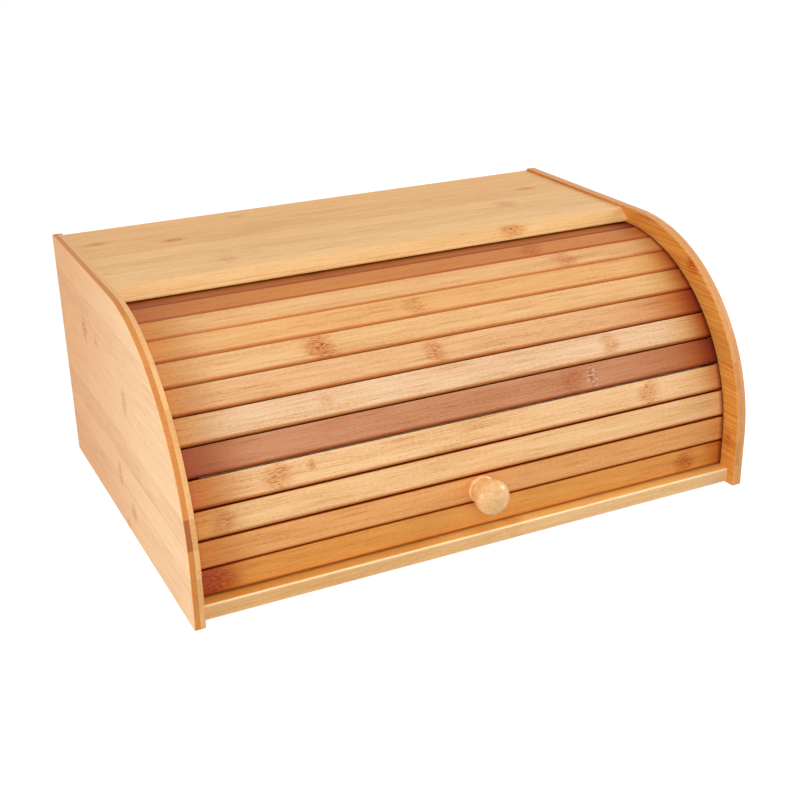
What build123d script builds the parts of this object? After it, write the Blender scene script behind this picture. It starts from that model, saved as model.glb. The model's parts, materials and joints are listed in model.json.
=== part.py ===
from build123d import *
import os
from math import asin, atan, cos, degrees, hypot, radians, sin

# Roll-top bread box of laminated bamboo, in millimetres.
# X runs to the right, Y to the back and Z up. The origin is on the floor, in the middle of the
# box's width and of its depth measured with the knob.

# ---- carcass ---------------------------------------------------------------------------------
carcass_width = 400.0  # over both sides
side_depth = 284.5
side_height = 168.0
side_thickness = 7.3
nose_radius = 130.0  # the quarter round at each side's top front
side_edge_round = 0.9
side_corner_round = 1.5

top_thickness = 8.0
top_setdown = 1.8  # the sides stand this much above the top board
top_front_inset = 139.3  # from the sides' front edges back to the top board's lip
top_lip_height = 1.0  # upright edge under the bevel
top_bevel_run = 9.2

base_thickness = 9.7
base_lift = 1.5  # gap under the base board
base_front_inset = 7.0
base_nose_round = 1.6

back_thickness = 4.0
back_inset = 3.0  # from the sides' back edges to the back board
housing_depth = 3.0  # how deep the back board sits in the four boards around it
housing_clearance = 0.1

# ---- dowels ----------------------------------------------------------------------------------
dowel_radius = 2.5
dowel_length = 26.0
dowel_side_depth = 4.2  # length of a dowel inside a side panel
dowel_clearance = 0.05
top_dowel_count = 2  # in each end of the board
base_dowel_count = 3
dowel_back_setback = 22.0  # from the back edge to the last dowel
top_dowel_front_setback = 23.2  # from the top board's lip to the first dowel
base_dowel_front_setback = 15.5  # from the base board's front edge to the first dowel

# ---- curtain ---------------------------------------------------------------------------------
curtain_radius = 123.0  # from the arc's centre to the middle of a slat's outer face
curtain_recess = 14.6  # from the sides' front edges to the curtain's upright stretch
curtain_top_gap = 1.2  # between the curtain's highest point and the top board
arc_slat_count = 12  # slats on the arc: the knob's, nine more in view and two under the top board

slat_thickness = 5.0
slat_width = 17.7
slat_gap = 0.3  # between neighbours, at the canvas
slat_upper_round = 1.2  # along the outer face's upper edge
slat_lower_round = 2.7  # along its lower edge, which shows as the dark band between two slats
slat_back_round = 0.3
slat_end_clearance = 0.5  # between a slat's shoulder and the side panel
bottom_slat_width = 18.1
bottom_slat_rest_gap = 0.3  # over the base board

groove_depth = 4.0
groove_clearance = 0.8  # on each face of a tongue
tongue_thickness = 2.4
tongue_setback = 0.8  # from the slat's long edges to its tongues
tongue_end_clearance = 0.6
bottom_tongue_width = 7.5  # short, so that the bottom slat can swing in the groove

canvas_thickness = 0.6
canvas_side_margin = 12.0
canvas_hem_margin = 2.0

# ---- knob ------------------------------------------------------------------------------------
knob_offset = -1.5  # the knob stands a little left of the middle
knob_flange_radius = 9.4
knob_flange_thickness = 3.0
knob_flange_round = 1.2
knob_neck_radius = 6.0
knob_neck_height = 6.2  # from the slat to the narrowest point
knob_head_radius = 11.4
knob_head_length = 15.6
knob_head_height = 15.5  # from the slat to the middle of the head

screw_radius = 2.0
screw_hole_clearance = 0.25
screw_thread_clearance = 0.05
screw_bite = 11.0  # length of thread in the knob
screw_bore_spare = 1.0
screw_head_radius = 4.0
screw_head_height = 2.2
screw_head_round = 1.4
screw_slot_width = 1.0
screw_slot_depth = 1.1

# ---- places worked out from the sizes --------------------------------------------------------
inner_half = carcass_width / 2 - side_thickness
inner_width = 2 * inner_half
base_top = base_lift + base_thickness
top_surface = side_height - top_setdown
top_underside = top_surface - top_thickness

canvas_radius = curtain_radius - slat_thickness  # the arc's centre to the slats' inner faces
slat_step = 2 * degrees(atan((slat_width + slat_gap) / 2 / canvas_radius))
slat_corner_radius = hypot(curtain_radius, slat_width / 2)
arc_z = top_underside - curtain_top_gap - slat_corner_radius

# The knob's slat is the lowest on the arc: its lower inner edge lies one gap above the bottom slat.
bottom_slat_foot = base_top + bottom_slat_rest_gap
bottom_slat_head = bottom_slat_foot + bottom_slat_width
inner_corner_radius = hypot(canvas_radius, slat_width / 2)
knob_slat_angle = degrees(
    asin((bottom_slat_head + slat_gap - arc_z) / inner_corner_radius)
    + atan(slat_width / 2 / canvas_radius)
)
slat_angles = [knob_slat_angle + i * slat_step for i in range(arc_slat_count)]

# The knob may stand out in front of the sides, and the depth is measured with it.
knob_tilt = radians(knob_slat_angle)
knob_front = (curtain_radius + knob_head_height) * cos(knob_tilt) + hypot(
    knob_head_length / 2 * cos(knob_tilt), knob_head_radius * sin(knob_tilt)
)
knob_overhang = max(0.0, knob_front - curtain_radius - curtain_recess)
overall_depth = side_depth + knob_overhang
back_y = overall_depth / 2
front_y = back_y - side_depth
arc_y = front_y + curtain_recess + curtain_radius
top_lip_y = front_y + top_front_inset
base_front_y = front_y + base_front_inset
back_board_y = back_y - back_inset - back_thickness / 2

groove_outer = (
    hypot(curtain_radius - (slat_thickness - tongue_thickness) / 2, slat_width / 2 - tongue_setback)
    + groove_clearance
)
groove_inner = curtain_radius - (slat_thickness + tongue_thickness) / 2 - groove_clearance
tongue_reach = groove_depth - tongue_end_clearance  # of a tongue into its side panel


def slat_plane(angle, x=0.0):
    """Plane square to X at a slat: its x axis runs up the curtain and its y axis outwards."""
    a = radians(angle)
    middle = (x, arc_y - curtain_radius * cos(a), arc_z + curtain_radius * sin(a))
    return Plane(origin=middle, x_dir=(0, sin(a), cos(a)), z_dir=(1, 0, 0))


def upright_plane(z, x=0.0):
    """The same plane for a slat on the curtain's upright stretch, centred at height z."""
    return Plane(origin=(x, arc_y - curtain_radius, z), x_dir=(0, 0, 1), z_dir=(1, 0, 0))


def knob_plane(depth=0.0):
    """Plane of the knob slat's outer face under the knob, moved inwards by depth."""
    outward = (0, -cos(knob_tilt), sin(knob_tilt))
    r = curtain_radius - depth
    middle = (knob_offset, arc_y - r * cos(knob_tilt), arc_z + r * sin(knob_tilt))
    return Plane(origin=middle, x_dir=(1, 0, 0), z_dir=outward)


def save(block, label):
    block.part.label = label
    export_step(block.part, f"parts/{label}.step")


# ---- side panels -----------------------------------------------------------------------------
def dowel_places(first_y, count, z):
    """Middles of one row of dowels, evenly spaced to the back and seen from the side."""
    pitch = (back_y - dowel_back_setback - first_y) / (count - 1)
    return [(first_y + i * pitch, z) for i in range(count)]


top_dowels_at = dowel_places(
    top_lip_y + top_dowel_front_setback, top_dowel_count, top_underside + top_thickness / 2
)
base_dowels_at = dowel_places(
    base_front_y + base_dowel_front_setback, base_dowel_count, base_lift + base_thickness / 2
)


def side_outline():
    """Rectangle with a quarter round at its top front, with Y and Z drawn as X and Y."""
    with BuildSketch() as sketch:
        with BuildLine():
            Polyline(
                (front_y, side_height - nose_radius),
                (front_y, 0),
                (back_y, 0),
                (back_y, side_height),
                (front_y + nose_radius, side_height),
            )
            RadiusArc(
                (front_y + nose_radius, side_height),
                (front_y, side_height - nose_radius),
                -nose_radius,
            )
        make_face()
        lower_corners = sketch.vertices().group_by(Axis.Y)[0]
        upper_back_corner = sketch.vertices().group_by(Axis.Y)[-1].sort_by(Axis.X)[-1]
        fillet([*lower_corners, upper_back_corner], side_corner_round)
    return sketch.sketch


def groove_outline():
    """Band that the tongues run in: up at the front, over the arc and down at the back."""
    with BuildSketch() as sketch:
        with BuildLine():
            for r in (groove_outer, groove_inner):
                Line((arc_y - r, base_top), (arc_y - r, arc_z))
                ThreePointArc((arc_y - r, arc_z), (arc_y, arc_z + r), (arc_y + r, arc_z))
                Line((arc_y + r, arc_z), (arc_y + r, base_top))
            for side in (-1, 1):
                Line((arc_y + side * groove_inner, base_top), (arc_y + side * groove_outer, base_top))
        make_face()
    return sketch.sketch


def side_panel(side):
    """One side: side is -1 for the left panel and 1 for the right one."""
    inner_x = side * inner_half
    with BuildPart() as panel:
        with BuildSketch(Plane.YZ.offset(inner_x)):
            add(side_outline())
        extrude(amount=side * side_thickness)
        fillet(panel.edges().filter_by(Axis.X, reverse=True), side_edge_round)
        with BuildSketch(Plane.YZ.offset(inner_x)):
            add(groove_outline())
        extrude(amount=side * groove_depth, mode=Mode.SUBTRACT)
        with BuildSketch(Plane.YZ.offset(inner_x)):
            with Locations((back_board_y, (base_top + top_underside) / 2)):
                Rectangle(
                    back_thickness + 2 * housing_clearance,
                    top_underside - base_top + 2 * (housing_depth + housing_clearance),
                )
        extrude(amount=side * (housing_depth + housing_clearance), mode=Mode.SUBTRACT)
        with BuildSketch(Plane.YZ.offset(inner_x)):
            with Locations(*top_dowels_at, *base_dowels_at):
                Circle(dowel_radius + dowel_clearance)
        extrude(amount=side * (dowel_side_depth + dowel_clearance), mode=Mode.SUBTRACT)
    return panel


save(side_panel(-1), "side_panel_left")
save(side_panel(1), "side_panel_right")


# ---- boards between the sides ----------------------------------------------------------------
def cut_dowel_holes(places):
    """Blind dowel holes in both ends of the board being built."""
    hole_depth = dowel_length - dowel_side_depth + dowel_clearance
    for side in (-1, 1):
        with BuildSketch(Plane.YZ.offset(side * inner_half)) as holes:
            with Locations(*places):
                Circle(dowel_radius + dowel_clearance)
        extrude(holes.sketch, amount=-side * hole_depth, mode=Mode.SUBTRACT)


def cut_back_housing(z, towards):
    """Groove for the back board's edge in a board's face at height z."""
    with BuildSketch(Plane.XY.offset(z)) as housing:
        with Locations((0, back_board_y)):
            Rectangle(inner_width, back_thickness + 2 * housing_clearance)
    extrude(housing.sketch, amount=towards * (housing_depth + housing_clearance), mode=Mode.SUBTRACT)


with BuildPart() as top_board:
    with BuildSketch(Plane.YZ.offset(-inner_half)):
        with BuildLine():
            Polyline(
                (top_lip_y, top_underside),
                (back_y, top_underside),
                (back_y, top_surface),
                (top_lip_y + top_bevel_run, top_surface),
                (top_lip_y, top_underside + top_lip_height),
                close=True,
            )
        make_face()
    extrude(amount=inner_width)
    cut_back_housing(top_underside, 1)
    cut_dowel_holes(top_dowels_at)
save(top_board, "top_board")

with BuildPart() as base_board:
    with BuildSketch(Plane.YZ.offset(-inner_half)) as base_section:
        with Locations((base_front_y, base_lift)):
            Rectangle(back_y - base_front_y, base_thickness, align=(Align.MIN, Align.MIN))
        fillet(base_section.vertices().group_by(Axis.X)[0].sort_by(Axis.Y)[-1], base_nose_round)
    extrude(amount=inner_width)
    cut_back_housing(base_top, -1)
    cut_dowel_holes(base_dowels_at)
save(base_board, "base_board")

with BuildPart() as back_board:
    with BuildSketch(Plane.XZ.offset(-back_board_y)):
        with Locations((0, (base_top + top_underside) / 2)):
            Rectangle(inner_width + 2 * housing_depth, top_underside - base_top + 2 * housing_depth)
    extrude(amount=back_thickness / 2, both=True)
save(back_board, "back_board")


def dowel_row(places):
    """The dowels of one board's two ends."""
    with BuildPart() as row:
        for side in (-1, 1):
            with BuildSketch(Plane.YZ.offset(side * (inner_half + dowel_side_depth))):
                with Locations(*places):
                    Circle(dowel_radius)
            extrude(amount=-side * dowel_length)
    return row


save(dowel_row(top_dowels_at), "top_dowels")
save(dowel_row(base_dowels_at), "base_dowels")


# ---- slats -----------------------------------------------------------------------------------
def slat(plane, width, tongue_width, for_knob=False):
    """A slat on its plane, with a tongue at each end that starts a setback below its upper edge."""
    body_half = inner_half - slat_end_clearance
    tongue_half = inner_half + tongue_reach
    tongue_middle = (width - tongue_width) / 2 - tongue_setback
    with BuildPart() as part:
        with BuildSketch(plane.offset(-body_half)) as section:
            with Locations((0, -slat_thickness / 2)):
                Rectangle(width, slat_thickness)
            lower_corner, upper_corner = section.vertices().group_by(Axis.Y)[-1].sort_by(Axis.X)
            fillet(lower_corner, slat_lower_round)
            fillet(upper_corner, slat_upper_round)
            fillet(section.vertices().group_by(Axis.Y)[0], slat_back_round)
        extrude(amount=2 * body_half)
        with BuildSketch(plane.offset(-tongue_half)):
            with Locations((tongue_middle, -slat_thickness / 2)):
                Rectangle(tongue_width, tongue_thickness)
        extrude(amount=2 * tongue_half)
        if for_knob:
            with BuildSketch(knob_plane()):
                Circle(screw_radius + screw_hole_clearance)
            extrude(amount=-slat_thickness, mode=Mode.SUBTRACT)
    return part


full_tongue = slat_width - 2 * tongue_setback
bottom_slat_plane = upright_plane((bottom_slat_foot + bottom_slat_head) / 2)
save(slat(bottom_slat_plane, bottom_slat_width, bottom_tongue_width), "slat_01")
for number, angle in enumerate(slat_angles, start=2):
    save(slat(slat_plane(angle), slat_width, full_tongue, for_knob=number == 2), f"slat_{number:02d}")

# ---- canvas glued to the slats' inner faces --------------------------------------------------
canvas_half = inner_half - canvas_side_margin


def canvas_edge(radius):
    """Points where one face of the canvas folds, from its lower end to its upper end."""
    fold = radius / cos(radians(slat_step / 2))
    points = []
    for i in range(arc_slat_count + 1):
        a = radians(knob_slat_angle + (i - 0.5) * slat_step)
        points.append((arc_y - fold * cos(a), arc_z + fold * sin(a)))
    return points


with BuildPart() as canvas_sheet:
    with BuildSketch(Plane.YZ.offset(-canvas_half)):
        with BuildLine():
            outer_edge = canvas_edge(canvas_radius)
            inner_edge = canvas_edge(canvas_radius - canvas_thickness)
            Polyline(*outer_edge, *reversed(inner_edge), close=True)
        make_face()
    extrude(amount=2 * canvas_half)
    with BuildSketch(knob_plane(slat_thickness)):
        Circle(screw_radius + screw_hole_clearance)
    extrude(amount=-2 * canvas_thickness, mode=Mode.SUBTRACT)
save(canvas_sheet, "canvas_sheet")

hem_width = bottom_slat_width - canvas_hem_margin
with BuildPart() as canvas_hem:
    with BuildSketch(upright_plane(bottom_slat_head, -canvas_half)):
        with Locations((-hem_width / 2, -slat_thickness - canvas_thickness / 2)):
            Rectangle(hem_width, canvas_thickness)
    extrude(amount=2 * canvas_half)
save(canvas_hem, "canvas_hem")

# ---- knob and its screw ----------------------------------------------------------------------
# Drawn with X as the radius and Y as the height over the slat, then turned about the knob's axis.
knob_axis_plane = Plane(
    origin=knob_plane().origin, x_dir=(1, 0, 0), z_dir=knob_plane().x_dir.cross(knob_plane().z_dir)
)
turning_axis = Axis(knob_plane().origin, knob_plane().z_dir)
bore_radius = screw_radius + screw_thread_clearance
bore_depth = screw_bite + screw_bore_spare
round_pull = 0.5523  # length of a quarter round's control arms, as a share of its radius
flange_foot = (knob_flange_radius - knob_flange_round / 2, 0)
flange_rim = (knob_flange_radius, knob_flange_thickness / 2)
flange_top = (knob_flange_radius - knob_flange_round, knob_flange_thickness)
neck = (knob_neck_radius, knob_neck_height)
widest = (knob_head_radius, knob_head_height)
tip = (0, knob_head_height + knob_head_length / 2)

with BuildPart() as knob:
    with BuildSketch(knob_axis_plane):
        with BuildLine():
            Polyline(tip, (0, bore_depth), (bore_radius, bore_depth), (bore_radius, 0), flange_foot)
            Spline(flange_foot, flange_rim, flange_top)
            Spline(flange_top, neck, tangents=[(-1, 0), (0, 1)])
            Bezier(
                neck,
                (knob_neck_radius, knob_head_height - round_pull * knob_head_length),
                (knob_head_radius, knob_head_height - round_pull * knob_head_length),
                widest,
            )
            Bezier(
                widest,
                (knob_head_radius, knob_head_height + round_pull * knob_head_length / 2),
                (round_pull * knob_head_radius, knob_head_height + knob_head_length / 2),
                tip,
            )
        make_face()
    revolve(axis=turning_axis)
save(knob, "knob")

head_seat_depth = slat_thickness + canvas_thickness
with BuildPart() as knob_screw:
    with BuildSketch(knob_plane(head_seat_depth)):
        Circle(screw_radius)
    extrude(amount=head_seat_depth + screw_bite)
    with BuildSketch(knob_plane(head_seat_depth)):
        Circle(screw_head_radius)
    extrude(amount=-screw_head_height)
    head_rim = knob_screw.edges().filter_by(GeomType.CIRCLE).group_by(SortBy.RADIUS)[-1]
    fillet(head_rim.sort_by(turning_axis)[0], screw_head_round)
    with BuildSketch(knob_plane(head_seat_depth + screw_head_height)):
        Rectangle(2 * screw_head_radius, screw_slot_width)
    extrude(amount=screw_slot_depth, mode=Mode.SUBTRACT)
save(knob_screw, "knob_screw")

# ---- figures for the record ------------------------------------------------------------------
hinge_z = bottom_slat_head + slat_gap / 2
half_turns = [atan((width + slat_gap) / 2 / canvas_radius) for width in (bottom_slat_width, slat_width)]
full_bend = degrees(sum(half_turns))
print(f"overall {carcass_width:.1f} x {overall_depth:.2f} x {side_height:.1f}")
print(f"sides' front edge y {front_y:.3f}, back y {back_y:.3f}, inner faces x +-{inner_half:.2f}")
print(f"curtain turns about y {arc_y:.3f} z {arc_z:.3f}; slats every {slat_step:.3f} degrees")
print(f"knob slat at {knob_slat_angle:.3f} degrees, last slat ends at {slat_angles[-1] + slat_step / 2:.2f}")
print(f"bottom slat bends about y {arc_y - canvas_radius:.3f} z {hinge_z:.3f}")
print(f"its bend on the arc is {full_bend - knob_slat_angle:.3f} degrees more than at rest")
print(f"groove from {groove_inner:.2f} to {groove_outer:.2f}")
print(f"top lip y {top_lip_y:.2f} z {top_underside:.2f}")
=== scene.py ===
import json
from math import atan2, cos, pi, radians, sin, tan

import bmesh
import bpy
from mathutils import Matrix, Vector


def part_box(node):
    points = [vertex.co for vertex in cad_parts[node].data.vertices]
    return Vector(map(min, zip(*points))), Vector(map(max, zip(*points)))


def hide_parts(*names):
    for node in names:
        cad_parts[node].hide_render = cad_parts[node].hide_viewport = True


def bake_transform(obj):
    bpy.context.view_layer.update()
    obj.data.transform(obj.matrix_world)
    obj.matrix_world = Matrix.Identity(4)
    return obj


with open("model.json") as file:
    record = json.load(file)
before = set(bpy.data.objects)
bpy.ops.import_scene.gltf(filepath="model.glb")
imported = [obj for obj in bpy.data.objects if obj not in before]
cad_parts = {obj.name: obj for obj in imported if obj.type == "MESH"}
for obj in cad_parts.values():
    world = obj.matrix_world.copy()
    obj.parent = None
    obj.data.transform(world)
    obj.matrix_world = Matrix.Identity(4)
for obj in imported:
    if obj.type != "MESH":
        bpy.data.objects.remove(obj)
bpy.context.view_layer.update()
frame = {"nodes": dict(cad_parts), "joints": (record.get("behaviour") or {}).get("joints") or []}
nodes = frame["nodes"]

# Roll-top bread box of laminated bamboo, in metres. X runs to the right, Y to the back, Z up.

# ---- sizes taken from the frame --------------------------------------------------------------
joints = {joint["name"]: joint for joint in frame["joints"]}
curtain_y, curtain_z = joints["curtain_roll"]["pos_m"][1:]
bend_y, bend_z = joints["bottom_slat_bend"]["pos_m"][1:]
panel_low, panel_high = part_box("side_panel_left")
inner_half = -panel_high.x
panel_thickness = panel_high.x - panel_low.x
slat_names = [f"slat_{number:02d}" for number in range(1, 14)]


# ---- node trees ------------------------------------------------------------------------------
class Tree:
    """The node tree of one material.

    The methods add nodes and return an output socket, except feed, which only sets an input, and
    finish, which returns the material.
    """

    def __init__(self, name):
        self.material = bpy.data.materials.new(name)
        self.material.use_nodes = True
        self.tree = self.material.node_tree
        self.tree.nodes.clear()

    def add(self, kind, output=0, settings=None, **inputs):
        node = self.tree.nodes.new(kind)
        for name, value in (settings or {}).items():
            setattr(node, name, value)
        for name, value in inputs.items():
            self.feed(node.inputs[name.replace("_", " ")], value)
        return node.outputs[output]

    def feed(self, socket, value):
        if isinstance(value, bpy.types.NodeSocket):
            self.tree.links.new(value, socket)
        else:
            socket.default_value = value

    def math(self, operation, *values, clamp=False):
        node = self.tree.nodes.new("ShaderNodeMath")
        node.operation = operation
        node.use_clamp = clamp
        for socket, value in zip(node.inputs, values):
            self.feed(socket, value)
        return node.outputs[0]

    def total(self, *values):
        result = values[0]
        for value in values[1:]:
            result = self.math("ADD", result, value)
        return result

    def times(self, *values):
        result = values[0]
        for value in values[1:]:
            result = self.math("MULTIPLY", result, value)
        return result

    def swing(self, value, size):
        """A value around 0.5 made to swing around 0, by size."""
        return self.times(self.math("SUBTRACT", value, 0.5), size)

    def vector(self, operation, *values, output=0):
        node = self.tree.nodes.new("ShaderNodeVectorMath")
        node.operation = operation
        for socket, value in zip(node.inputs, values):
            self.feed(socket, value)
        return node.outputs[output]

    def point(self, x, y, z):
        return self.add("ShaderNodeCombineXYZ", X=x, Y=y, Z=z)

    def noise(self, vector, detail=2.0, roughness=0.5, distortion=0.0):
        """Noise from 0 to 1 with a mean of 0.5, in cells about 1 unit wide."""
        return self.add(
            "ShaderNodeTexNoise",
            Vector=vector, Scale=1.0, Detail=detail, Roughness=roughness, Distortion=distortion,
        )

    def chance(self, value):
        """A random number from 0 to 1 for each value."""
        return self.add("ShaderNodeTexWhiteNoise", settings={"noise_dimensions": "1D"}, W=value)

    def smooth(self, value, low, high, start=0.0, end=1.0):
        return self.add(
            "ShaderNodeMapRange", settings={"interpolation_type": "SMOOTHSTEP"},
            Value=value, From_Min=low, From_Max=high, To_Min=start, To_Max=end,
        )

    def mix(self, factor, a, b, blend="MIX"):
        node = self.tree.nodes.new("ShaderNodeMix")
        node.data_type = "RGBA"
        node.blend_type = blend
        self.feed(node.inputs[0], factor)
        self.feed(node.inputs[6], a)
        self.feed(node.inputs[7], b)
        return node.outputs[2]

    def ramp(self, factor, stops):
        node = self.tree.nodes.new("ShaderNodeValToRGB")
        elements = node.color_ramp.elements
        while len(elements) < len(stops):
            elements.new(0.5)
        for element, (position, colour) in zip(elements, stops):
            element.position = position
            element.color = colour
        self.feed(node.inputs[0], factor)
        return node.outputs[0]

    def object_point(self):
        return self.add("ShaderNodeTexCoord", output="Object")

    def facing(self, direction):
        """1 where the surface faces the direction, 0 across it and -1 away from it."""
        normal = self.add("ShaderNodeTexCoord", output="Normal")
        return self.vector("DOT_PRODUCT", normal, direction, output=1)

    def finish(self, **inputs):
        shader = self.tree.nodes.new("ShaderNodeBsdfPrincipled")
        for name, value in inputs.items():
            self.feed(shader.inputs[name.replace("_", " ")], value)
        output = self.tree.nodes.new("ShaderNodeOutputMaterial")
        self.tree.links.new(shader.outputs[0], output.inputs[0])
        return self.material


def srgb(red, green, blue):
    """A colour written as 0 to 255 per channel, in Blender's linear values."""
    linear = [
        c / 12.92 if c <= 0.04045 else ((c + 0.055) / 1.055) ** 2.4
        for c in (red / 255, green / 255, blue / 255)
    ]
    return (*linear, 1.0)


# ---- bamboo ----------------------------------------------------------------------------------
# Lengths of the wood's figure along and across the grain, and how much each changes the tone.
fibre_size, fibre_swing = (0.026, 0.00045), 1.70
dash_size, dash_swing = (0.0026, 0.00060), 0.95
streak_size, streak_swing = (0.110, 0.0026), 0.80
cloud_size, cloud_swing = (0.080, 0.0110), 0.55
warp_size, warp_swing = (0.035, 0.009), 0.0016  # how the grain waves across its own direction
speck_size = (0.0032, 0.00085)  # at the cane's nodes
glue_line = 0.00022  # half the width of the line between two strips
bump_depth = 0.0002

# Colours mixed into the wood's own. All multiply it but node_pale, which lightens it.
node_halo = srgb(232, 190, 144)
node_dark = srgb(176, 108, 62)
node_pale = srgb(255, 236, 214)
# Painted shade, in the slats' lower roundings and the grooves between them:
joint_shade_amber = srgb(222, 172, 112)
joint_shade_brown = srgb(146, 92, 54)
# Painted shade where the slats meet the side panels:
end_shade_brown = srgb(150, 96, 52)
# Painted shade, the light falling off towards the back of the side panels:
back_shade_tint = srgb(246, 218, 180)


def drawn_out(tree, grain, size, shift=(0, 0, 0)):
    """Point for a noise whose cells are drawn out along the grain."""
    length, width = size
    scales = (1 / length, 1 / width, 1 / width)
    return tree.point(*(tree.total(tree.times(g, s), o) for g, s, o in zip(grain, scales, shift)))


def cane_node(tree, colour, grain, shift, mark):
    """Darkens the wood where the cane had a node: a soft halo, with dark and pale specks in it."""
    a, b, c = grain
    x, y, reach_x, reach_y, strength = mark
    wobble = tree.noise(tree.point(tree.times(b, 1 / 0.005), x * 50, 0.0), 2.0)
    off_x = tree.math("SUBTRACT", tree.total(a, tree.swing(wobble, 0.010)), x)
    far_x = tree.math("DIVIDE", off_x, reach_x)
    far_y = tree.math("DIVIDE", tree.math("SUBTRACT", b, y), reach_y)
    far = tree.math("SQRT", tree.total(tree.times(far_x, far_x), tree.times(far_y, far_y)))
    frayed = tree.noise(drawn_out(tree, grain, (0.006, 0.0012), (shift, 0, x * 90)), 2.0)
    ragged = tree.total(far, tree.swing(frayed, 0.7))
    halo = tree.smooth(ragged, 0.25, 1.0, 1.0, 0.0)
    core = tree.smooth(ragged, 0.1, 0.85, 1.0, 0.0)
    specks = tree.noise(drawn_out(tree, grain, speck_size, (x * 300, shift, 0)), 1.0, 0.6)
    dark = tree.times(core, tree.smooth(specks, 0.50, 0.62), abs(strength))
    pale = tree.times(core, tree.smooth(specks, 0.34, 0.46, 1.0, 0.0), abs(strength) * 0.7)
    colour = tree.mix(tree.times(halo, max(0.0, strength)), colour, node_halo, "MULTIPLY")
    colour = tree.mix(tree.math("MINIMUM", dark, 1.0), colour, node_dark, "MULTIPLY")
    lighten = "SCREEN" if strength < 0 else "SOFT_LIGHT"
    return tree.mix(tree.math("MINIMUM", pale, 1.0), colour, node_pale, lighten)


def bamboo(name, place, tone, contrast=1.0, seed=0.0, strips=None, marks=(), edge=None, roughness=0.5):
    """Lacquered bamboo. place is (origin, along, across, outwards); tone is (dark, middle, light).

    strips is (pitch, first glue line, tone spread, {strip number: darkening}).
    marks are nodes of the cane: (along, across, reach along, reach across, strength). A strength
    below 0 leaves the soft halo out and makes the pale specks brighter.
    edge is a function that recolours the faces across the outwards direction.
    """
    tree = Tree(name)
    origin, *axes = place
    local = tree.vector("SUBTRACT", tree.object_point(), origin)
    a, b, c = (tree.vector("DOT_PRODUCT", local, axis, output=1) for axis in axes)
    shift = seed
    darker = 0.0
    line = None
    if strips:
        pitch, first, spread, special = strips
        place_in = tree.math("DIVIDE", tree.math("SUBTRACT", b, first), pitch)
        number = tree.math("FLOOR", place_in)
        chance = tree.chance(tree.total(number, seed + 0.37))
        shift = tree.total(tree.times(chance, 37.0), seed)
        darker = tree.swing(chance, spread)
        for strip, amount in special.items():
            is_it = tree.math("COMPARE", number, float(strip), 0.25)
            darker = tree.total(darker, tree.times(is_it, amount))
        rest = tree.math("SUBTRACT", place_in, number)
        to_line = tree.times(tree.math("MINIMUM", rest, tree.math("SUBTRACT", 1.0, rest)), pitch)
        line = tree.smooth(to_line, 0.0, 2 * glue_line, 1.0, 0.0)

    warp = tree.noise(drawn_out(tree, (a, b, c), warp_size, (shift, 3.1, 0)), 1.0)
    grain = (a, tree.total(b, tree.swing(warp, warp_swing)), c)
    fibre = tree.noise(drawn_out(tree, grain, fibre_size, (shift, 0, 0)), 3.0, 0.6)
    dash = tree.noise(drawn_out(tree, grain, dash_size, (0, shift, 0)), 2.0, 0.6)
    streak = tree.noise(drawn_out(tree, grain, streak_size, (0, shift, 1.7)), 2.0, 0.55)
    cloud = tree.noise(drawn_out(tree, (a, b, c), cloud_size, (shift, 5.3, 0)), 1.5)
    figure = tree.total(
        tree.swing(fibre, fibre_swing * contrast), tree.swing(dash, dash_swing * contrast),
        tree.swing(streak, streak_swing * contrast), tree.swing(cloud, cloud_swing * contrast), 0.5,
    )
    value = tree.math("SUBTRACT", figure, darker, clamp=True)
    colour = tree.ramp(value, list(zip((0.0, 0.5, 1.0), tone)))
    if line is not None:
        colour = tree.mix(tree.times(line, 0.45), colour, node_halo, "MULTIPLY")
    for mark in marks:
        colour = cane_node(tree, colour, (a, b, c), shift, mark)
    if edge:
        colour = edge(tree, a, b, c, colour)
    height = tree.total(tree.times(fibre, 0.6), tree.times(dash, 0.4))
    bump = tree.add("ShaderNodeBump", Strength=0.22, Distance=bump_depth, Height=height)
    rough = tree.smooth(streak, 0.25, 0.75, roughness - 0.06, roughness + 0.08)
    return tree.finish(
        Base_Color=colour, Roughness=rough, Normal=bump, IOR=1.5, Specular_IOR_Level=0.32,
        Coat_Weight=0.08, Coat_Roughness=0.30,
    )


def paint(name, material):
    """Gives a CAD node one material in all its slots."""
    mesh = nodes[name].data
    if not mesh.materials:
        mesh.materials.append(material)
    for i in range(len(mesh.materials)):
        mesh.materials[i] = material


# ---- slats -----------------------------------------------------------------------------------
# The middle tone of each slat, from the lowest up to the two under the top board. slat_12's is partly its
# own dark cane and partly painted shade, from the shadow under the top board's lip.
slat_tones = [
    srgb(230, 155, 70), srgb(235, 165, 95), srgb(242, 190, 130), srgb(240, 190, 135), srgb(195, 130, 88),
    srgb(230, 185, 140), srgb(225, 170, 116), srgb(228, 175, 114), srgb(230, 170, 104), srgb(232, 176, 114),
    srgb(205, 125, 52), srgb(170, 92, 28), srgb(230, 162, 96),
]
dark_fibre, light_fibre = (0.70, 0.50, 0.30), (1.07, 1.26, 1.50)  # against the middle tone, per channel


def fibre_tones(middle):
    """Dark fibre, middle and light fibre of one piece of cane."""
    dark, light = (
        [min(part * change, 1.0) for part, change in zip(middle, changes)] + [1.0]
        for changes in (dark_fibre, light_fibre)
    )
    return dark, middle, light


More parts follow.
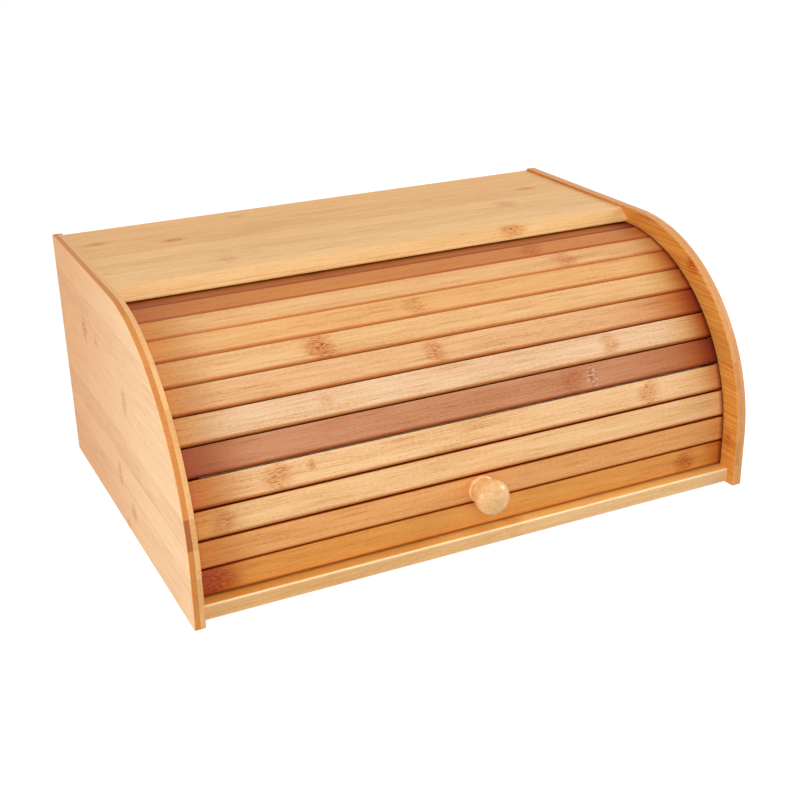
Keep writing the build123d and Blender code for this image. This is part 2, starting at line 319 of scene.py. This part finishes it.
# Nodes of the cane on each slat: place along and across it, reach both ways, and strength.
slat_marks = {
    "slat_01": [(-0.182, 0, 0.022, 0.02, 0.9), (0.160, 0, 0.012, 0.013, 0.8)],
    "slat_03": [(-0.172, 0, 0.011, 0.012, 0.5)],
    "slat_04": [
        (-0.135, 0, 0.013, 0.013, 0.6), (-0.113, 0.003, 0.004, 0.005, 0.6), (0.132, 0, 0.012, 0.013, 0.6),
    ],
    "slat_05": [(0.091, 0, 0.007, 0.012, -0.7), (0.076, 0, 0.014, 0.015, 0.5)],
    "slat_06": [(0.111, 0, 0.010, 0.012, 0.5), (-0.095, 0.002, 0.008, 0.007, 0.3)],
    "slat_07": [(-0.014, 0, 0.011, 0.012, 0.6)],
    "slat_08": [(-0.087, 0, 0.015, 0.013, 1.0)],
    "slat_09": [(-0.013, 0, 0.012, 0.012, 0.45)],
    "slat_10": [(0.113, 0, 0.013, 0.012, 0.6)],
    "slat_11": [(0.096, 0, 0.013, 0.012, 0.6)],
    "slat_12": [(-0.06, 0, 0.012, 0.012, 0.5)],
    "slat_13": [(0.04, 0, 0.012, 0.012, 0.5)],
}
# Towards the sides the slats are darker and warmer, painted shade from the side panels: how far in, and the
# tint at the end.
left_end_shades = [(0.045, srgb(228, 199, 144))]
right_end_shades = [(0.045, srgb(250, 222, 150)), (0.022, srgb(174, 94, 38))]
stained_ends = {  # (slat, side): reach and colour of a darker stretch of cane
    (1, -1): (0.040, srgb(226, 190, 150)),
    (4, -1): (0.055, srgb(226, 186, 138)),
    (5, -1): (0.055, srgb(222, 178, 130)),
    (5, 1): (0.110, srgb(228, 190, 130)),
    (7, 1): (0.095, srgb(222, 172, 108)),
}
# Painted shade: the last stretch of a slat, by the side panel, is browner still.
end_shade_reach = 0.005  # the last stretch of a slat, browner still
# How strongly the right end's painted shade, and its stains, show on each slat, 1 where it isn't named.
right_depth = {1: 0.6, 2: 0.2, 3: 0.15, 4: 0.6, 8: 0.9, 9: 0.9, 10: 0.55, 11: 0.4}


def slat_place(name):
    """The middle of a slat's outer face, the grain, the way up the curtain and the way out of it."""
    mesh = nodes[name].data
    low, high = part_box(name)
    away = (low + high) / 2 - Vector((0, curtain_y, curtain_z))
    areas = {}
    for polygon in mesh.polygons:
        normal = tuple(round(part, 3) for part in polygon.normal)
        areas[normal] = areas.get(normal, 0) + polygon.area
    outwards = Vector(max((f for f in areas if Vector(f).dot(away) > 0), key=areas.get)).normalized()
    up = outwards.cross(Vector((1, 0, 0)))
    heights = [vertex.co.dot(up) for vertex in mesh.vertices]
    face = max(vertex.co.dot(outwards) for vertex in mesh.vertices)
    origin = outwards * face + up * (min(heights) + max(heights)) / 2
    return tuple(origin), (1, 0, 0), tuple(up), tuple(outwards)


slat_places = {name: slat_place(name) for name in slat_names}
slat_half_width = 0.00885  # of a slat on the arc
# Painted shade on a slat's lower rounding, which faces down into the groove.
lower_shade_band = (0.0008, 0.0030)  # how far from a slat's lower edge its rounding is darkest, and ends


def slat_edge(number):
    """A slat is darker at its ends, down its rounded edges and on its wide lower rounding: painted shade
    from the side panels and the next slat, with some stains of its own at the ends.
    """
    def recolour(tree, a, b, c, colour):
        depth = tree.times(c, -1.0)
        outside = tree.smooth(depth, 0.0015, 0.0035, 1.0, 0.0)
        # Painted shade towards each end, with the stains of some slats.
        for side, tints in ((-1, left_end_shades), (1, right_end_shades)):
            from_end = tree.math("SUBTRACT", inner_half, tree.times(a, side))
            amount = tree.times(outside, right_depth.get(number, 1.0) if side > 0 else 1.0)
            stains = [stained_ends[number, side]] if (number, side) in stained_ends else []
            for reach, tint in tints + stains:
                shaded = tree.times(amount, tree.smooth(from_end, 0.0, reach, 1.0, 0.0))
                colour = tree.mix(shaded, colour, tint, "MULTIPLY")
            shaded = tree.times(outside, tree.smooth(from_end, 0.0, end_shade_reach, 1.0, 0.0))
            colour = tree.mix(shaded, colour, end_shade_brown, "MULTIPLY")
        # Painted shade on the lower rounding and down the rounded edges, browner deeper in the groove.
        from_below = tree.total(b, slat_half_width)
        low = tree.smooth(from_below, *lower_shade_band, 1.0, 0.0)
        rounded = tree.math("MAXIMUM", low, tree.smooth(depth, 0.0002, 0.0012))
        colour = tree.mix(rounded, colour, joint_shade_amber, "MULTIPLY")
        return tree.mix(tree.smooth(depth, 0.0009, 0.0024), colour, joint_shade_brown, "MULTIPLY")
    return recolour


for number, name in enumerate(slat_names, 1):
    paint(name, bamboo(
        name + "_bamboo", slat_places[name], fibre_tones(slat_tones[number - 1]), seed=3.7 * number - 2.4,
        marks=slat_marks.get(name, ()), edge=slat_edge(number),
    ))

# ---- boards ----------------------------------------------------------------------------------
strip_pitch = 0.0186
ply = panel_thickness / 2
dark_piece_low = 0.0525  # the lower end of the dark strip at the left side's front
rim_tones = {  # inner ply, outer ply: darkest and lightest piece of each
    -1: ((srgb(226, 170, 104), srgb(240, 190, 128)), (srgb(206, 128, 52), srgb(218, 146, 70))),
    1: ((srgb(214, 146, 78), srgb(228, 168, 104)), (srgb(216, 154, 96), srgb(228, 172, 118))),
}
# The sides' inner faces are made warmer than their outer ones, a painted shade, with fine darker lines.
inside_shade_tint = srgb(243, 206, 130)
inside_shade_depth = {-1: 0.5, 1: 1.0}  # how strongly the tint shows on each side
inside_line_size = (0.060, 0.0011)
# Painted shade: from front to back the light falls off, and both faces are made warmer.
back_shade_reach = (-0.10, 0.15)  # from front to back, over which both faces turn warmer


def panel_edge(side):
    """Colours of a side panel's rim, where its two plies show, and of its inner face, with painted shade on
    the inner face and towards the back.
    """
    def recolour(tree, a, b, c, colour):
        across = tree.facing((side, 0, 0))
        rim = tree.smooth(tree.math("ABSOLUTE", across), 0.35, 0.8, 1.0, 0.0)
        outer = tree.smooth(c, -0.0002, 0.0002)
        from_piece = tree.math("SUBTRACT", b, dark_piece_low)
        number = tree.math("FLOOR", tree.math("DIVIDE", from_piece, strip_pitch))
        chance = tree.chance(tree.total(number, tree.times(outer, 7.0), side + 0.61))
        inner_tone, outer_tone = (tree.ramp(chance, [(0, low), (1, high)]) for low, high in rim_tones[side])
        tone = tree.mix(outer, inner_tone, outer_tone)
        if side < 0:
            is_dark = tree.times(outer, tree.math("COMPARE", number, 0.0, 0.25))
            tone = tree.mix(tree.times(is_dark, 0.9), tone, srgb(168, 92, 42))
        pores = tree.noise(tree.vector("MULTIPLY", tree.object_point(), (1500, 700, 700)), 2.0, 0.6)
        tone = tree.mix(tree.smooth(pores, 0.35, 0.75, 0.0, 0.5), tone, node_halo, "MULTIPLY")
        seam = tree.smooth(tree.math("ABSOLUTE", c), 0.0, 0.0003, 0.8, 0.0)
        tone = tree.mix(seam, tone, node_halo, "MULTIPLY")
        inside = tree.smooth(across, -0.8, -0.35, 1.0, 0.0)
        # Painted shade, warmer and darker towards the back.
        colour = tree.mix(tree.smooth(a, *back_shade_reach), colour, back_shade_tint, "MULTIPLY")
        # Painted shade on the inner face.
        colour = tree.mix(tree.times(inside, inside_shade_depth[side]), colour, inside_shade_tint, "MULTIPLY")
        lines = tree.noise(drawn_out(tree, (a, b, c), inside_line_size), 2.0, 0.6)
        lines = tree.times(inside, tree.smooth(lines, 0.46, 0.60, 0.0, 0.75))
        colour = tree.mix(lines, colour, node_halo, "MULTIPLY")
        return tree.mix(rim, colour, tone)
    return recolour


side_tone = (srgb(212, 150, 92), srgb(243, 196, 142), srgb(251, 215, 168))
side_marks = [
    (0.073, 0.120, 0.008, 0.013, 0.7), (0.041, 0.121, 0.006, 0.007, 0.4), (-0.021, 0.101, 0.008, 0.013, 0.6),
    (0.012, 0.038, 0.008, 0.013, 0.5), (-0.016, 0.021, 0.010, 0.010, 0.5), (0.002, 0.004, 0.008, 0.008, 0.4),
]
inner_marks = [
    (-0.078, 0.147, 0.011, 0.012, 0.9), (-0.128, 0.034, 0.009, 0.010, 0.5), (0.03, 0.07, 0.010, 0.012, 0.6),
]
for name, side in (("side_panel_left", -1), ("side_panel_right", 1)):
    place = ((side * (inner_half + ply), 0.0, 0.0), (0, 1, 0), (0, 0, 1), (side, 0, 0))
    paint(name, bamboo(
        name + "_bamboo", place, side_tone, contrast=0.75, seed=11.0 + side,
        strips=(strip_pitch, dark_piece_low, 0.24, {0: 0.20} if side < 0 else {}),
        marks=side_marks if side < 0 else inner_marks, edge=panel_edge(side),
    ))

top_low, top_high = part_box("top_board")
top_back_tint = srgb(248, 234, 216)
bevel_tint = srgb(243, 237, 236)


def top_edge(tree, a, b, c, colour):
    """The top board's bevel is a little darker, and the board turns warmer and darker towards the back."""
    forward = tree.facing((0, -1, 0))
    colour = tree.mix(tree.smooth(forward, 0.1, 0.3), colour, bevel_tint, "MULTIPLY")
    return tree.mix(tree.smooth(b, 0.02, 0.15), colour, top_back_tint, "MULTIPLY")


paint("top_board", bamboo(
    "top_board_bamboo", ((0, 0, top_high.z), (1, 0, 0), (0, 1, 0), (0, 0, 1)),
    (srgb(210, 148, 78), srgb(244, 193, 126), srgb(252, 215, 152)),
    contrast=0.8, seed=21.0, strips=(strip_pitch, top_low.y + 0.002, 0.26, {}), edge=top_edge,
    marks=[
        (-0.127, 0.094, 0.014, 0.006, 0.8), (-0.176, 0.111, 0.012, 0.006, 0.6),
        (-0.068, 0.131, 0.010, 0.005, 0.4), (0.1595, 0.095, 0.014, 0.006, 0.6),
        (0.124, 0.062, 0.012, 0.014, 0.4), (-0.108, 0.032, 0.011, 0.009, 0.4),
        (0.096, 0.0068, 0.016, 0.006, 0.7), (0.076, 0.101, 0.010, 0.005, 0.3),
    ],
))

base_front_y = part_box("base_board")[0].y
# Painted shade on the base's upper face.
base_top_shade = srgb(235, 202, 146)
# Painted shade, where the left side panel shades the base.
base_left_shade = srgb(226, 208, 176)
# Painted highlight on the base's eased front edge.
nose_highlight = srgb(255, 236, 206)


def base_edge(tree, a, b, c, colour):
    """The base's upper face is made browner than its front, and its left part browner still: painted shade.
    Its eased edge is made paler: a painted highlight.
    """
    up = tree.facing((0, 0, 1))
    is_top = tree.smooth(up, 0.75, 0.98)
    colour = tree.mix(is_top, colour, base_top_shade, "MULTIPLY")
    left_shade_mask = tree.times(tree.smooth(up, 0.75, 0.98, 0.5, 1.0), tree.smooth(a, -0.18, 0.10, 1.0, 0.0))
    colour = tree.mix(left_shade_mask, colour, base_left_shade, "MULTIPLY")
    # Painted highlight along the rounded nose.
    nose_highlight_band = tree.times(tree.smooth(up, 0.05, 0.4), tree.smooth(up, 0.6, 0.9, 1.0, 0.0))
    return tree.mix(tree.times(nose_highlight_band, 0.35), colour, nose_highlight, "SCREEN")


paint("base_board", bamboo(
    "base_board_bamboo", ((0, 0, 0), (1, 0, 0), (0, 1, 0), (0, 0, 1)),
    (srgb(228, 176, 112), srgb(255, 223, 166), srgb(255, 233, 186)),
    contrast=0.7, seed=31.0, strips=(strip_pitch, base_front_y + strip_pitch, 0.2, {}), edge=base_edge,
    marks=[
        (0.02, -0.126, 0.012, 0.008, 0.4), (-0.09, 0.03, 0.012, 0.008, 0.5), (0.12, 0.06, 0.012, 0.008, 0.5),
    ],
))
paint("back_board", bamboo(
    "back_board_bamboo", ((0, 0, 0), (1, 0, 0), (0, 0, 1), (0, 1, 0)),
    (srgb(204, 142, 80), srgb(236, 184, 122), srgb(248, 208, 150)),
    contrast=0.7, seed=41.0, strips=(strip_pitch, 0.0105, 0.3, {}),
    marks=[
        (-0.11, 0.05, 0.012, 0.009, 0.6), (0.07, 0.09, 0.013, 0.009, 0.6), (0.15, 0.03, 0.011, 0.009, 0.5),
        (-0.03, 0.13, 0.012, 0.009, 0.6),
    ],
))
for name in ("top_dowels", "base_dowels"):
    paint(name, bamboo(
        name + "_wood", ((0, 0, 0), (1, 0, 0), (0, 1, 0), (0, 0, 1)),
        (srgb(204, 150, 98), srgb(232, 190, 140), srgb(246, 214, 170)), seed=5.0,
    ))

# ---- knob ------------------------------------------------------------------------------------
knob_tree = Tree("knob_wood")
p = knob_tree.object_point()
rings = knob_tree.noise(knob_tree.vector("MULTIPLY", p, (110.0, 90.0, 360.0)), 2.0, 0.5, 0.4)
fine = knob_tree.noise(knob_tree.vector("MULTIPLY", p, (500.0, 900.0, 1900.0)), 3.0, 0.6)
pores = knob_tree.noise(knob_tree.vector("MULTIPLY", p, (900.0, 1500.0, 1500.0)), 1.0, 0.5)
mixed = knob_tree.total(knob_tree.times(rings, 0.5), knob_tree.times(fine, 0.5))
knob_colour = knob_tree.ramp(mixed, [
    (0.32, srgb(222, 160, 96)), (0.50, srgb(236, 184, 122)), (0.66, srgb(245, 202, 146)),
])
pore_depth = knob_tree.smooth(pores, 0.60, 0.72, 0.0, 0.3)
knob_colour = knob_tree.mix(pore_depth, knob_colour, node_dark, "MULTIPLY")
knob_bump = knob_tree.add("ShaderNodeBump", Strength=0.08, Distance=bump_depth, Height=fine)
paint("knob", knob_tree.finish(
    Base_Color=knob_colour, Roughness=0.45, Normal=knob_bump, IOR=1.5, Specular_IOR_Level=0.35,
    Coat_Weight=0.35, Coat_Roughness=0.16,
))

# ---- screw -----------------------------------------------------------------------------------
screw_tree = Tree("screw_steel")
scuff_point = screw_tree.vector("MULTIPLY", screw_tree.object_point(), (900.0, 900.0, 900.0))
scuffs = screw_tree.noise(scuff_point, 4.0, 0.6)
paint("knob_screw", screw_tree.finish(
    Base_Color=screw_tree.ramp(scuffs, [(0.3, srgb(150, 150, 152)), (0.7, srgb(200, 198, 192))]),
    Metallic=1.0, Roughness=screw_tree.smooth(scuffs, 0.3, 0.7, 0.28, 0.46),
))

# ---- canvas ----------------------------------------------------------------------------------
# One woven sheet is glued behind all the slats: up the bottom slat and round the arc, its two side
# edges turned in and stitched.
hem_low, hem_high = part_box("canvas_hem")
canvas_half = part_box("canvas_sheet")[1].x
canvas_thickness = hem_high.y - hem_low.y
canvas_radius = curtain_y - hem_low.y  # from the arc's centre to the slats' inner faces
turned_width, turned_thickness = 0.009, 0.0004
stitch_length, stitch_pitch, stitch_radius = 0.0022, 0.0034, 0.00022
first_stitch, stitch_spare = 0.003, 0.004  # bare canvas under the first stitch, and in all
column_pitch = 0.02  # between the mesh's columns
thread_pitch = 0.0008
arc_outwards = [slat_places[name][3] for name in slat_names[1:]]
slat_angles = [atan2(out[2], -out[1]) for out in arc_outwards]
slat_step = (slat_angles[-1] - slat_angles[0]) / (len(slat_angles) - 1)
facet = 2 * canvas_radius * tan(slat_step / 2)  # the canvas's length behind one slat of the arc
upright = bend_z - hem_low.z  # and behind the lowest slat
canvas_length = upright + len(slat_angles) * facet


def canvas_point(along):
    """Point of the canvas's outer face and the way inwards, at a length from its lower end."""
    if along < upright:
        return Vector((0, hem_low.y, hem_low.z + along)), Vector((0, 1, 0))
    number = min(int((along - upright) / facet), len(slat_angles) - 1)
    angle = slat_angles[number]
    outwards = Vector((0, -cos(angle), sin(angle)))
    up = Vector((0, sin(angle), cos(angle)))
    centre = Vector((0, curtain_y, curtain_z)) + canvas_radius * outwards
    return centre + (along - upright - (number + 0.5) * facet) * up, -outwards


def mesh_piece(name, build, material):
    """Makes one object of a mesh under construction, with its outside faces outwards."""
    mesh = bpy.data.meshes.new(name)
    bmesh.ops.recalc_face_normals(build, faces=build.faces)
    build.to_mesh(mesh)
    build.free()
    mesh.materials.append(material)
    piece = bpy.data.objects.new(name, mesh)
    bpy.context.scene.collection.objects.link(piece)
    return piece


def canvas_sheet():
    """A closed thin sheet, thicker where its side edges are turned in."""
    build = bmesh.new()
    columns = [-canvas_half, -canvas_half + turned_width, -canvas_half + 1.1 * turned_width]
    columns += [column_pitch * i for i in range(-8, 9)] + [-x for x in reversed(columns)]
    rows = [upright * i / 6 for i in range(6)]
    rows += [upright + facet * i / 4 for i in range(4 * len(slat_angles) + 1)]
    grid = []
    for along in rows:
        place, inwards = canvas_point(min(along, canvas_length - 1e-7))
        faces = []
        for x in columns:
            turned = turned_thickness if abs(x) > canvas_half - 1.05 * turned_width else 0.0
            outer = build.verts.new((x, place.y, place.z))
            inner = build.verts.new(Vector((x, place.y, place.z)) + (canvas_thickness + turned) * inwards)
            faces.append((outer, inner))
        grid.append(faces)
    last_row, last_column = len(rows) - 1, len(columns) - 1
    for i in range(last_row):
        below, above = grid[i], grid[i + 1]
        for j in range(last_column):
            for side in (0, 1):
                corners = (below[j], below[j + 1], above[j + 1], above[j])
                build.faces.new([corner[side] for corner in corners])
        for j in (0, last_column):
            build.faces.new([below[j][0], below[j][1], above[j][1], above[j][0]])
    for i in (0, last_row):
        for j in range(last_column):
            this, following = grid[i][j], grid[i][j + 1]
            build.faces.new([this[0], this[1], following[1], following[0]])
    return build


def canvas_stitches():
    """Rows of short raised stitches that hold the turned-in edges."""
    build = bmesh.new()
    for side in (-1, 1):
        x = side * (canvas_half - 0.75 * turned_width)
        for number in range(int((canvas_length - stitch_spare) / stitch_pitch)):
            along = first_stitch + number * stitch_pitch
            place, inwards = canvas_point(along)
            ahead, _ = canvas_point(along + 0.0001)
            lengthwise = (ahead - place).normalized()
            centre = Vector((x, place.y, place.z)) + (canvas_thickness + turned_thickness) * inwards
            turn = Matrix((Vector((1, 0, 0)), inwards, lengthwise)).transposed().to_4x4()
            shape = Matrix.Diagonal((stitch_radius, stitch_radius, stitch_length / 2, 1))
            bmesh.ops.create_icosphere(
                build, subdivisions=1, radius=1.0, matrix=Matrix.Translation(centre) @ turn @ shape,
            )
    return build


def woven_cotton():
    """Plain weave: at every second crossing the lengthwise thread lies on top."""
    tree = Tree("woven_cotton")
    x, y, z = (tree.add("ShaderNodeSeparateXYZ", output=i, Vector=tree.object_point()) for i in range(3))
    down = tree.math("SUBTRACT", z, curtain_z)
    turn = tree.math("ARCTAN2", down, tree.math("SUBTRACT", curtain_y, y))
    on_arc = tree.times(tree.math("MAXIMUM", turn, 0.0), canvas_radius)
    around = tree.math("ADD", on_arc, tree.math("MINIMUM", down, 0.0))
    u, v = (tree.times(length, 1 / thread_pitch) for length in (x, around))
    parity = tree.math("PINGPONG", tree.total(tree.math("FLOOR", u), tree.math("FLOOR", v)), 1.0)
    u_round, v_round = (tree.math("SINE", tree.times(tree.math("FRACT", part), pi)) for part in (u, v))
    lengthwise = tree.times(u_round, tree.total(0.6, tree.times(v_round, 0.4)))
    crosswise = tree.times(v_round, tree.total(0.6, tree.times(u_round, 0.4)))
    other = tree.math("SUBTRACT", 1.0, parity)
    height = tree.total(tree.times(parity, lengthwise), tree.times(other, crosswise))
    slubs = tree.noise(tree.point(tree.times(u, 0.15), tree.times(v, 1.0), 0.0), 2.0)
    colour = tree.ramp(slubs, [(0.3, srgb(214, 198, 166)), (0.7, srgb(234, 222, 196))])
    # Painted shade: darker where the weave is low, in the hollows between threads.
    colour = tree.mix(tree.smooth(height, 0.05, 0.55, 0.8, 0.0), colour, srgb(190, 170, 140), "MULTIPLY")
    bump = tree.add("ShaderNodeBump", Strength=0.8, Distance=0.0003, Height=height)
    return tree.finish(Base_Color=colour, Roughness=0.92, Normal=bump, Specular_IOR_Level=0.2)


def thread_cotton():
    """Twisted thread, in darker and lighter turns."""
    tree = Tree("thread_cotton")
    twist = tree.noise(tree.vector("MULTIPLY", tree.object_point(), (2500.0, 2500.0, 900.0)), 2.0)
    colour = tree.ramp(twist, [(0.35, srgb(216, 196, 158)), (0.65, srgb(242, 230, 204))])
    return tree.finish(Base_Color=colour, Roughness=0.8)


sheet = mesh_piece("canvas", canvas_sheet(), woven_cotton())
stitches = mesh_piece("canvas_stitches", canvas_stitches(), thread_cotton())
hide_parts("canvas_sheet", "canvas_hem")
for piece in (sheet, stitches):
    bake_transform(piece)


# ---- floor, backdrop and light ---------------------------------------------------------------
def seen_directly(tree):
    """1 for camera, mirror and glass rays, 0 for light that bounces between surfaces."""
    path = tree.nodes.new("ShaderNodeLightPath")
    result = path.outputs["Is Camera Ray"]
    for kind in ("Is Glossy Ray", "Is Transmission Ray"):
        both = tree.nodes.new("ShaderNodeMath")
        both.operation = "ADD"
        both.use_clamp = True
        tree.links.new(result, both.inputs[0])
        tree.links.new(path.outputs[kind], both.inputs[1])
        result = both.outputs[0]
    return result


def shader(tree, kind, level, strength=None):
    """One grey shader, from 0 for black to 1 for white."""
    node = tree.nodes.new("ShaderNode" + kind)
    node.inputs["Color"].default_value = (level, level, level, 1)
    if strength is not None:
        node.inputs["Strength"].default_value = strength
    return node.outputs[0]


def switch(tree, unseen, seen, output_kind):
    """Sends one shader to the light that bounces and another to the camera."""
    choose = tree.nodes.new("ShaderNodeMixShader")
    out = tree.nodes.new("ShaderNodeOutput" + output_kind)
    tree.links.new(seen_directly(tree), choose.inputs[0])
    tree.links.new(unseen, choose.inputs[1])
    tree.links.new(seen, choose.inputs[2])
    tree.links.new(choose.outputs[0], out.inputs[0])


floor_size = 6.0
floor_drop = 0.0002  # under the box, so that the two faces don't flicker
floor_level = 0.50  # how pale the floor is to the light that it throws back
shadow_level = 0.45  # how much of the floor's white goes with the light on it
floor_glow = 0.86  # and how much it shows by itself
sky_level = 0.30

mesh = bpy.data.meshes.new("floor")
build = bmesh.new()
bmesh.ops.create_grid(build, x_segments=1, y_segments=1, size=floor_size / 2)
build.to_mesh(mesh)
build.free()
floor = bpy.data.objects.new("floor", mesh)
bpy.context.scene.collection.objects.link(floor)
floor.location = (0, 0, -floor_drop)

floor_material = bpy.data.materials.new("pale_floor")
floor_material.use_nodes = True
tree = floor_material.node_tree
tree.nodes.clear()
shown = tree.nodes.new("ShaderNodeAddShader")
tree.links.new(shader(tree, "BsdfDiffuse", shadow_level), shown.inputs[0])
tree.links.new(shader(tree, "Emission", 1.0, floor_glow), shown.inputs[1])
switch(tree, shader(tree, "BsdfDiffuse", floor_level), shown.outputs[0], "Material")
mesh.materials.append(floor_material)

world = bpy.data.worlds.new("studio")
bpy.context.scene.world = world
world.use_nodes = True
tree = world.node_tree
tree.nodes.clear()
switch(tree, shader(tree, "Background", 1.0, sky_level), shader(tree, "Background", 1.0, 1.0), "World")


def softbox(name, place, size, power, target=(0, 0, 0.08)):
    """A rectangular lamp that points at the middle of the box."""
    lamp = bpy.data.lights.new(name, "AREA")
    lamp.shape = "RECTANGLE"
    lamp.size, lamp.size_y = size
    lamp.energy = power
    thing = bpy.data.objects.new(name, lamp)
    thing.location = place
    thing.rotation_euler = (Vector(target) - Vector(place)).to_track_quat("-Z", "Y").to_euler()
    bpy.context.scene.collection.objects.link(thing)


softbox("left_light", (-0.95, -0.32, 0.24), (0.45, 0.35), 4.1)
softbox("right_light", (1.9, -0.6, 0.85), (0.9, 0.7), 19.0)
softbox("front_light", (-0.4, -1.7, 0.85), (1.1, 0.6), 11.0)
softbox("top_light", (0.0, -0.2, 1.6), (1.0, 0.8), 7.0)

# ---- camera ----------------------------------------------------------------------------------
camera_place = (-0.369777, -0.773726, 0.423176)
camera_turn = radians(25.648)  # to the right of straight ahead
camera_dip = radians(23.318)
camera_roll = radians(1.168)
focal_length, sensor_width = 58.85, 36.0  # in mm
forward = Vector((sin(camera_turn) * cos(camera_dip), cos(camera_turn) * cos(camera_dip), -sin(camera_dip)))
level_right = Vector((cos(camera_turn), -sin(camera_turn), 0))
level_down = forward.cross(level_right)
right = cos(camera_roll) * level_right + sin(camera_roll) * level_down
down = -sin(camera_roll) * level_right + cos(camera_roll) * level_down
lens = bpy.data.cameras.new("camera")
lens.lens = focal_length
lens.sensor_width = sensor_width
camera = bpy.data.objects.new("camera", lens)
bpy.context.scene.collection.objects.link(camera)
camera_axes = Matrix((right, -down, -forward)).transposed().to_4x4()
camera.matrix_world = Matrix.Translation(camera_place) @ camera_axes
bpy.context.scene.camera = camera
bpy.context.scene.view_settings.view_transform = "Standard"
